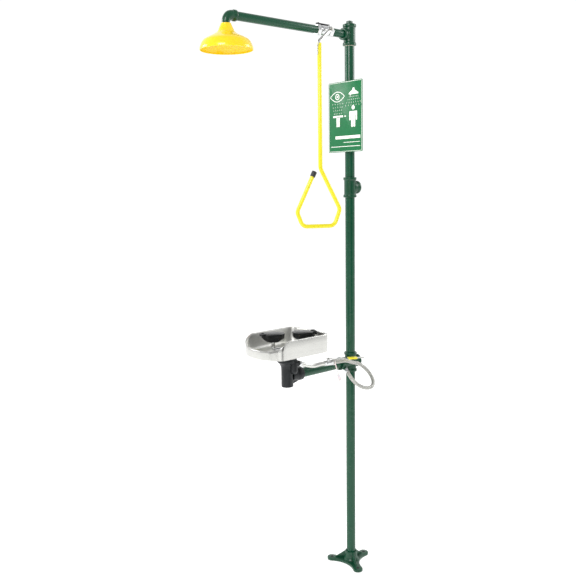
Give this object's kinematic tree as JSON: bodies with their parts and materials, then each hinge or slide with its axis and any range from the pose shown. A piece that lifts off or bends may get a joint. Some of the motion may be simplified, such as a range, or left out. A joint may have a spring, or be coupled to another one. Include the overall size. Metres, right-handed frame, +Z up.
{
  "type": "emergency combination shower",
  "caption": "Floor-mounted pole with a drench shower head on an overhead arm, a triangular pull handle, a sign and an eye and face wash bowl fed by a braided hose.",
  "frame": {"origin": "on the floor, on the pole's axis, at the underside of the floor flange", "axes": "+Z up along the pole; -Y along the shower arm and the eyewash arm, away from the pole; +X to the side of the arm that carries both valve levers, the pull rod and the hose"},
  "size_m": [0.2632, 0.8713, 2.46],
  "materials": {
    "green_enamel": "glossy dark green enamel",
    "sign_green": "satin green printed plastic",
    "yellow_plastic": "glossy yellow moulded plastic",
    "yellow_coating": "smooth yellow plastic coating",
    "chrome": "polished chrome plate",
    "brushed_stainless": "brushed stainless steel",
    "plain_steel": "plain satin steel",
    "steel_braid": "woven stainless wire",
    "black_plastic": "satin black moulded plastic",
    "black_casting": "satin black coated casting",
    "white_plastic": "matt white plastic",
    "valve_seat": "white sealing plastic"
  },
  "bodies": {
    "frame": {"arm_elbow": "green_enamel", "arm_pipe": "green_enamel", "bowl_strainer": "chrome", "braided_hose": "steel_braid", "cross_plug": "green_enamel", "drain_casting": "black_casting", "eyewash_arm": "green_enamel", "eyewash_bowl": "brushed_stainless", "eyewash_cross": "green_enamel", "floor_flange": "green_enamel", "hang_tag": "white_plastic", "hose_nut_cross": "chrome", "hose_nut_valve": "chrome", "hose_outlet_nipple": "chrome", "inlet_nut": "chrome", "lower_pole": "green_enamel", "middle_pole": "green_enamel", "shower_diffuser": "yellow_plastic", "shower_head": "yellow_plastic", "shower_packing_nut": "chrome", "shower_stop_bracket": "black_plastic", "shower_valve_body": "chrome", "shower_valve_retainer": "chrome", "shower_valve_seat_inlet": "valve_seat", "shower_valve_seat_outlet": "valve_seat", "sign_clamp_lower": "plain_steel", "sign_clamp_upper": "plain_steel", "sign_plate": "sign_green", "sign_rivet_lower_left": "plain_steel", "sign_rivet_lower_right": "plain_steel", "sign_rivet_upper_left": "plain_steel", "sign_rivet_upper_right": "plain_steel", "spray_head_front": "black_plastic", "spray_head_rear": "black_plastic", "spray_yoke": "chrome", "supply_tee": "green_enamel", "supply_tube": "brushed_stainless", "top_plug": "green_enamel", "top_tee": "green_enamel", "upper_pole": "green_enamel", "valve_nipple": "green_enamel", "wash_packing_nut": "chrome", "wash_valve_body": "chrome", "wash_valve_retainer": "chrome", "wash_valve_seat_inlet": "valve_seat", "wash_valve_seat_outlet": "valve_seat"},
    "shower_lever": {"shower_lever": "brushed_stainless", "shower_lever_nut": "plain_steel", "shower_valve_stem": "plain_steel", "shower_valve_ball": "chrome"},
    "pull_rod": {"pull_rod": "yellow_coating", "pull_rod_cap": "black_plastic", "pull_rod_hook": "plain_steel"},
    "wash_lever": {"wash_lever": "brushed_stainless", "wash_lever_nut": "plain_steel", "wash_lever_sleeve": "yellow_coating", "wash_valve_stem": "plain_steel", "wash_valve_ball": "chrome"},
    "dust_cap_front": {"dust_cap_front": "black_plastic"},
    "dust_cap_rear": {"dust_cap_rear": "black_plastic"}
  },
  "joints": [
    {"name": "shower_lever_turn", "type": "hinge", "parent": "frame", "child": "shower_lever", "pos_m": [0.045, -0.1535, 2.402], "axis": [1, 0, 0], "range_deg": [0, 51]},
    {"name": "pull_rod_swing", "type": "hinge", "parent": "shower_lever", "child": "pull_rod", "pos_m": [0.045, -0.22071, 2.34835], "axis": [1, 0, 0], "range_deg": [-51, 0]},
    {"name": "wash_lever_turn", "type": "hinge", "parent": "frame", "child": "wash_lever", "pos_m": [0.056, -0.194, 1.003], "axis": [-0.0051, -0.0296, -0.9995], "range_deg": [0, 90]},
    {"name": "dust_cap_front_lift", "type": "hinge", "parent": "frame", "child": "dust_cap_front", "pos_m": [-0.05334, -0.47569, 1.1535], "axis": [0.891, -0.454, 0], "range_deg": [0, 110]},
    {"name": "dust_cap_rear_lift", "type": "hinge", "parent": "frame", "child": "dust_cap_rear", "pos_m": [0.05334, -0.26631, 1.1535], "axis": [-0.891, 0.454, 0], "range_deg": [0, 110]}
  ],
  "couplings": [
    {"joint": "pull_rod_swing", "follows": "shower_lever_turn", "ratio": -1}
  ]
}
